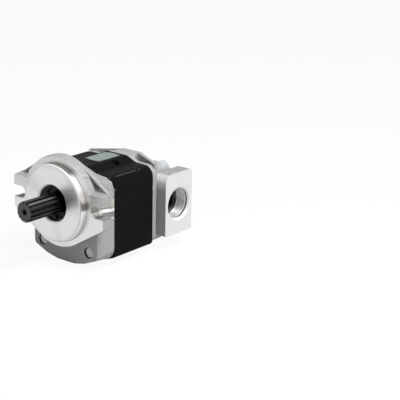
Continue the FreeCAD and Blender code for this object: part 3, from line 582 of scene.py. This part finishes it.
def shaft_steel():
    surface = Surface("shaft steel")
    radius = surface.distance(surface.x, surface.z)
    grain = surface.noise(size=0.4, detail=3.0)
    streak = surface.noise(size=1.6, detail=2.0, stretch=(1, 14, 1))
    on_spline = surface.below(surface.y, SPLINE_END, soft=0.5)
    land = surface.all_of(surface.above(radius, SPLINE_TIP_RADIUS - 0.25, soft=0.12), on_spline)
    lit_land = surface.all_of(land, surface.between(surface.facing_z, LIT_LAND_FACINGS, soft=0.1))
    colour = surface.paint(
        surface.tint(surface.spread(streak, low=-0.3, high=1.3), SPLINE_DARK, SPLINE_LIGHT),
        (surface.all_of(land, surface.spread(streak, low=-0.5, high=0.8)), 1.0, LAND_COLOUR),
        (lit_land, 0.7, LIT_LAND_COLOUR),
        (surface.below(surface.y, SHAFT_END + 0.4, soft=0.3), 1.0, SHAFT_END_COLOUR),
        (surface.above(surface.y, JOURNAL_START, soft=0.5), 1.0, JOURNAL_COLOUR))
    surface.bump(grain, depth=0.03)
    return surface.finish(colour, 0.9, surface.spread(grain, low=0.28, high=0.44))


ZINC_DARK = (0.52, 0.56, 0.60)
ZINC_LIGHT = (0.70, 0.73, 0.755)
THREAD_END_DARK = (0.24, 0.24, 0.245)
THREAD_END_LIGHT = (0.42, 0.425, 0.43)


def bolt_zinc():
    # Bluish zinc, darker at the thread ends.
    surface = Surface("bolt zinc")
    grain = surface.noise(size=0.5, detail=4.0)
    cloud = surface.spread(surface.noise(size=4.0, detail=2.0), low=-0.3, high=1.3)
    in_front_cover = surface.below(surface.y, FRONT_JOINT, soft=1.0)
    zinc_tone = surface.tint(cloud, ZINC_DARK, ZINC_LIGHT)
    thread_end_tone = surface.tint(cloud, THREAD_END_DARK, THREAD_END_LIGHT)
    surface.bump(grain, depth=0.03)
    return surface.finish(
        surface.tint(in_front_cover, zinc_tone, thread_end_tone), 0.9, surface.spread(grain, low=0.22, high=0.4))


def plain_material(name, dark, light, metallic, roughness, size, stretch=(1, 1, 1)):
    # One colour that drifts from dark to light, under a fine grain of the given size.
    surface = Surface(name)
    grain = surface.noise(size, detail=4.0, stretch=stretch)
    cloud = surface.noise(size * 9, detail=2.0)
    colour = surface.tint(surface.spread(cloud, low=-0.3, high=1.3), dark, light)
    surface.bump(grain, depth=0.03)
    return surface.finish(colour, metallic, surface.spread(grain, *roughness))


PLATE_DARK = (0.155, 0.21, 0.197)
PLATE_LIGHT = (0.30, 0.35, 0.335)
RULE_COLOUR = (0.05, 0.07, 0.065)
FIELD_HALF_WIDTH = 6.4
FIELD_HALF_LENGTH = 13.4
RULE_WIDTH = 0.35
RULE_SPACING = 2.6


def plate_metal():
    # Brushed plate with a ruled border and ruled lines, and nothing written between them.
    surface = Surface("bare plate")
    brushed = surface.noise(size=0.35, detail=3.0, stretch=(1, 30, 1))
    haze = surface.noise(size=5.0, detail=3.0)
    across = surface.absolute(surface.x)
    along = surface.absolute(surface.minus(surface.y, PLATE_Y))
    field = surface.all_of(
        surface.below(across, FIELD_HALF_WIDTH, soft=0.05),
        surface.below(along, FIELD_HALF_LENGTH, soft=0.05))
    inner = surface.all_of(
        surface.below(across, FIELD_HALF_WIDTH - RULE_WIDTH, soft=0.05),
        surface.below(along, FIELD_HALF_LENGTH - RULE_WIDTH, soft=0.05))
    row = surface.math("PINGPONG", surface.minus(surface.x, RULE_SPACING / 2), RULE_SPACING / 2)
    rules = surface.all_of(inner, surface.below(row, RULE_WIDTH / 2, soft=0.05))
    ruled = surface.any_of(surface.minus(field, inner), rules)
    colour = surface.paint(
        surface.tint(surface.spread(haze, low=-0.5, high=1.5), PLATE_DARK, PLATE_LIGHT),
        (ruled, 0.7, RULE_COLOUR))
    surface.bump(brushed, depth=0.01)
    surface.bump(surface.math("MULTIPLY", ruled, -1.0), depth=0.03)
    return surface.finish(colour, 0.55, surface.spread(brushed, low=0.3, high=0.5))


# One material for each slot, two for nodes by name, and the cut threads of the ports
materials = {
    "front_cover": front_cover_metal(),
    "rear_cover": rear_cover_metal(),
    "black_paint": housing_paint(),
    "shaft_steel": shaft_steel(),
    "zinc_steel": bolt_zinc(),
    "plate_metal": plate_metal(),
    "bush_bronze": plain_material(
        "bush bronze", dark=(0.42, 0.27, 0.12), light=(0.6, 0.42, 0.2),
        metallic=0.9, roughness=(0.3, 0.5), size=0.8),
    "plate_bronze": plain_material(
        "plate bronze", dark=(0.5, 0.36, 0.17), light=(0.66, 0.5, 0.27),
        metallic=0.9, roughness=(0.25, 0.45), size=0.6),
    "seal_rubber": plain_material(
        "seal rubber", dark=(0.012, 0.012, 0.012), light=(0.03, 0.03, 0.03),
        metallic=0.0, roughness=(0.55, 0.75), size=0.5),
    "backup_plastic": plain_material(
        "backup plastic", dark=(0.72, 0.7, 0.62), light=(0.8, 0.78, 0.72),
        metallic=0.0, roughness=(0.4, 0.55), size=0.7),
    "seal_case_steel": plain_material(
        "seal case", dark=(0.02, 0.02, 0.022), light=(0.05, 0.05, 0.05),
        metallic=0.5, roughness=(0.45, 0.6), size=0.6),
    "spring_steel": plain_material(
        "spring steel", dark=(0.3, 0.3, 0.31), light=(0.45, 0.45, 0.46),
        metallic=0.95, roughness=(0.25, 0.4), size=0.4),
    "ring_steel": plain_material(
        "ring steel", dark=(0.03, 0.03, 0.032), light=(0.07, 0.07, 0.075),
        metallic=0.85, roughness=(0.35, 0.5), size=0.5),
    "thread": plain_material(
        "cut thread", dark=(0.42, 0.42, 0.43), light=(0.60, 0.60, 0.61),
        metallic=0.9, roughness=(0.25, 0.4), size=0.6),
    "dowel_steel": plain_material(
        "dowel steel", dark=(0.4, 0.4, 0.41), light=(0.55, 0.55, 0.56),
        metallic=0.95, roughness=(0.2, 0.32), size=0.4, stretch=(1, 8, 1)),
    "rivet_steel": plain_material(
        "rivet steel", dark=(0.06, 0.06, 0.065), light=(0.12, 0.12, 0.12),
        metallic=0.8, roughness=(0.35, 0.5), size=0.4),
}


def dress_cad_nodes():
    for name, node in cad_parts.items():
        slot = node.material_slots[0].material.name.split(".")[0]
        node.data.materials.clear()
        node.data.materials.append(materials.get(name) or materials[slot])


# Pieces, which all belong to the casing

SMOOTH_ANGLE = 40
BOLT_SMOOTH_ANGLE = 25


def add_object(name, data):
    new = bpy.data.objects.new(name, data)
    bpy.context.scene.collection.objects.link(new)
    return new


def add_piece(name, rings, slot, look=None, smooth_angle=SMOOTH_ANGLE):
    # A piece looks like its slot unless another material is named.
    mesh = swept_mesh(name, rings)
    piece = add_object(name, mesh)
    mesh.materials.append(materials[look or slot])
    mesh.shade_smooth()
    mesh.set_sharp_from_angle(angle=math.radians(smooth_angle))
    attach(piece, "casing")
    return piece


def swept_mesh(name, rings):
    # Joins closed rings of points, in millimetres, into a tube with a face over each end.
    mesh = bpy.data.meshes.new(name)
    build = bmesh.new()
    rows = [[build.verts.new([c * MM for c in point]) for point in ring] for ring in rings]
    count = len(rows[0])
    for first, second in zip(rows, rows[1:]):
        for i in range(count):
            j = (i + 1) % count
            build.faces.new((first[i], first[j], second[j], second[i]))
    build.faces.new(rows[0][::-1])
    build.faces.new(rows[-1])
    bmesh.ops.recalc_face_normals(build, faces=build.faces)
    build.to_mesh(mesh)
    build.free()
    return mesh


# Threads: a ridge reaches a little into the wall, has a flat crest, and fades in and out over one turn
THREAD_STEPS = 48
THREAD_OVERLAP = 0.05
THREAD_CREST = 0.12
THREAD_LEAST_FADE = 0.02
PORT_LENGTH = 19.0
PORT_PITCH = 25.4 / 12
PORT_THREAD_DEPTH = 1.15
TOP_HOLE_X = 19.5
TOP_HOLE_Y = 67.5
TOP_HOLE_RADIUS = 4.25
TOP_HOLE_FLOOR = 21.5
TOP_HOLE_RUN = 7.0
TOP_PITCH = 1.25
TOP_THREAD_DEPTH = 0.6


def thread_rings(mouth, inward, radius, run, pitch, depth):
    # Helical ridge on the wall of a round hole, which runs inward from its mouth.
    first = Vector((0, 1, 0))
    second = inward.cross(first)
    steps = int((run - pitch) / pitch * THREAD_STEPS)
    outer = radius + THREAD_OVERLAP
    rings = []
    for k in range(steps + 1):
        angle = 2 * math.pi * k / THREAD_STEPS
        out = first * math.cos(angle) + second * math.sin(angle)
        middle = mouth + inward * (pitch / 2 + pitch * k / THREAD_STEPS)
        fade = min(1.0, k / THREAD_STEPS, (steps - k) / THREAD_STEPS)
        crest = radius - depth * max(fade, THREAD_LEAST_FADE)
        profile = [
            (outer, -pitch / 2),
            (crest, -THREAD_CREST),
            (crest, THREAD_CREST),
            (outer, pitch / 2),
        ]
        rings.append([middle + out * reach + inward * shift for reach, shift in profile])
    return rings


def port_threads():
    ports = [("suction_thread", 1, SUCTION_RADIUS), ("delivery_thread", -1, DELIVERY_RADIUS)]
    for name, side, radius in ports:
        mouth = Vector((side * (PAD_FACE - PORT_CHAMFER), PORT_Y, PORT_Z))
        inward = Vector((-side, 0, 0))
        run = PORT_LENGTH - PORT_CHAMFER
        rings = thread_rings(mouth, inward, radius, run, PORT_PITCH, PORT_THREAD_DEPTH)
        add_piece(name, rings, "cast_aluminium", look="thread")


def top_hole_threads():
    for name, side in (("left_top_thread", -1), ("right_top_thread", 1)):
        mouth = Vector((side * TOP_HOLE_X, TOP_HOLE_Y, TOP_HOLE_FLOOR + TOP_HOLE_RUN))
        inward = Vector((0, 0, -1))
        rings = thread_rings(mouth, inward, TOP_HOLE_RADIUS, TOP_HOLE_RUN, TOP_PITCH, TOP_THREAD_DEPTH)
        add_piece(name, rings, "black_paint")


# Through bolts: cap screws with a knurled head and a hexagon socket
BOLT_RADIUS = 5.95
BOLT_TIP_CHAMFER = 0.8
LOWER_BOLT_TIP = 12.5
UPPER_BOLT_TIP = 14.5
HEAD_START = 120.0
HEAD_LENGTH = 11.0
HEAD_RADIUS = 9.0
HEAD_FOOT = 0.5
HEAD_EDGE = 1.0
HEAD_ROUND = 0.3
KNURLS = 54
KNURL_DEPTH = 0.28
KNURL_RUNOUT = 0.8
SOCKET_FLATS = 10.0
SOCKET_DEPTH = 6.0
SOCKET_CHAMFER = (0.5, 0.4)
SOCKET_POINT = 1.2
AXIS_GAP = 0.2
STEPS_PER_KNURL = 4
BOLT_STEPS = KNURLS * STEPS_PER_KNURL


def round_reach(radius, step):
    return radius


def knurled_reach(radius, step):
    in_groove = step % STEPS_PER_KNURL >= STEPS_PER_KNURL / 2
    return radius - KNURL_DEPTH if in_groove else radius


def hexagon_reach(radius, step):
    from_flat = (2 * math.pi * step / BOLT_STEPS) % (math.pi / 3) - math.pi / 6
    return SOCKET_FLATS / 2 / math.cos(from_flat)


def bolt_rings(x, z, tip):
    # Rings from the screw's tip to the bottom of its socket, each with its radius, place and shape.
    head_end = HEAD_START + HEAD_LENGTH
    knurl_end = head_end - HEAD_EDGE
    socket_corner = SOCKET_FLATS / math.sqrt(3)
    socket_floor = head_end - SOCKET_DEPTH
    chamfer_width, chamfer_depth = SOCKET_CHAMFER
    stations = [
        (AXIS_GAP, tip, round_reach),
        (BOLT_RADIUS - BOLT_TIP_CHAMFER, tip, round_reach),
        (BOLT_RADIUS, tip + BOLT_TIP_CHAMFER, round_reach),
        (BOLT_RADIUS, HEAD_START, round_reach),
        (HEAD_RADIUS - HEAD_FOOT, HEAD_START, round_reach),
        (HEAD_RADIUS, HEAD_START + HEAD_FOOT, knurled_reach),
        (HEAD_RADIUS, knurl_end - KNURL_RUNOUT, knurled_reach),
        (HEAD_RADIUS, knurl_end, round_reach),
        (HEAD_RADIUS - HEAD_EDGE * HEAD_ROUND, head_end - HEAD_EDGE * HEAD_ROUND, round_reach),
        (HEAD_RADIUS - HEAD_EDGE, head_end, round_reach),
        (socket_corner + chamfer_width, head_end, round_reach),
        (socket_corner, head_end - chamfer_depth, hexagon_reach),
        (socket_corner, socket_floor, hexagon_reach),
        (AXIS_GAP, socket_floor - SOCKET_POINT, round_reach),
    ]
    rings = []
    for radius, y, shape in stations:
        ring = []
        for step in range(BOLT_STEPS):
            angle = 2 * math.pi * step / BOLT_STEPS
            reach = shape(radius, step)
            ring.append((x + reach * math.cos(angle), y, z + reach * math.sin(angle)))
        rings.append(ring)
    return rings


def through_bolts():
    for side, side_name in ((-1, "left"), (1, "right")):
        for rise, rise_name, tip in ((-1, "lower", LOWER_BOLT_TIP), (1, "upper", UPPER_BOLT_TIP)):
            rings = bolt_rings(side * BOLT_X, PORT_Z + rise * BOLT_RISE, tip)
            name = "bolt_%s_%s" % (side_name, rise_name)
            piece = add_piece(name, rings, "zinc_steel", smooth_angle=BOLT_SMOOTH_ANGLE)
            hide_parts("through_bolts")


PLATE_TOP = 34.6
RIVET_X = 7.8
RIVET_Y = 14.8
RIVET_RADIUS = 1.0
RIVET_HEIGHT = 0.5
RIVET_SIDES = 24
DOME_SHARES = (0.0, 0.35, 0.7, 0.9, 0.999)


def dome_rings(x, y):
    rings = []
    for share in DOME_SHARES:
        radius = RIVET_RADIUS * math.sqrt(1 - share * share)
        height = PLATE_TOP + RIVET_HEIGHT * share
        ring = []
        for k in range(RIVET_SIDES):
            angle = 2 * math.pi * k / RIVET_SIDES
            ring.append((x + radius * math.cos(angle), y + radius * math.sin(angle), height))
        rings.append(ring)
    return rings


def rivets():
    # Domed drive rivets at the plate's corners.
    for across in (-1, 1):
        for along in (-1, 1):
            rings = dome_rings(across * RIVET_X, PLATE_Y + along * RIVET_Y)
            piece = add_piece("rivet_%d_%d" % (across + 1, along + 1), rings, "rivet_steel")
            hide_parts("nameplate_rivets")


# Stage and light

WORLD_FILL = 0.12
FLOOR_GLOW = 0.93
FLOOR_BOUNCE = (0.6, 0.6, 0.6)
FLOOR_REACH = 6.0
KEY_PLACE = Vector((0.75, 0.0, 1.15))
KEY_SIZE = 0.6
KEY_POWER = 22


def floor_material():
    # White to the camera and in reflections, greyer for the light that it throws back.
    surface = Surface("white floor")
    seen = surface.seen_directly()
    surface.finish(surface.tint(seen, FLOOR_BOUNCE, WHITE), 0.0, 0.9)
    glow = surface.node("ShaderNodeEmission")
    mix = surface.node("ShaderNodeMixShader")
    surface.link(surface.all_of(seen, FLOOR_GLOW), mix.inputs[0])
    surface.link(surface.shader.outputs["BSDF"], mix.inputs[1])
    surface.link(glow.outputs["Emission"], mix.inputs[2])
    surface.link(mix.outputs["Shader"], surface.tree.nodes["Material Output"].inputs["Surface"])
    return surface.material


def add_stage():
    mesh = bpy.data.meshes.new("floor")
    z = cad_box[0][2]
    corners = [(x * FLOOR_REACH, y * FLOOR_REACH, z) for x, y in ((-1, -1), (1, -1), (1, 1), (-1, 1))]
    mesh.from_pydata(corners, [], [(0, 1, 2, 3)])
    mesh.materials.append(floor_material())
    add_object("floor", mesh)


def add_key_light():
    data = bpy.data.lights.new("key", "AREA")
    data.size = KEY_SIZE
    data.energy = KEY_POWER
    light = add_object("key", data)
    light.location = KEY_PLACE
    light.rotation_euler = (KEY_PLACE - CAMERA_AIM).to_track_quat("Z", "Y").to_euler()


def add_world():
    world = bpy.data.worlds.new("world")
    bpy.context.scene.world = world
    world.use_nodes = True
    graph = Graph(world.node_tree)
    background = graph.tree.nodes["Background"]
    strength = graph.spread(graph.seen_directly(), low=WORLD_FILL, high=1.0)
    graph.link(WHITE, background.inputs["Color"])
    graph.link(strength, background.inputs["Strength"])


add_camera()
bpy.context.scene.view_settings.view_transform = "Standard"
dress_cad_nodes()
port_threads()
top_hole_threads()
through_bolts()
rivets()
add_stage()
add_key_light()
add_world()
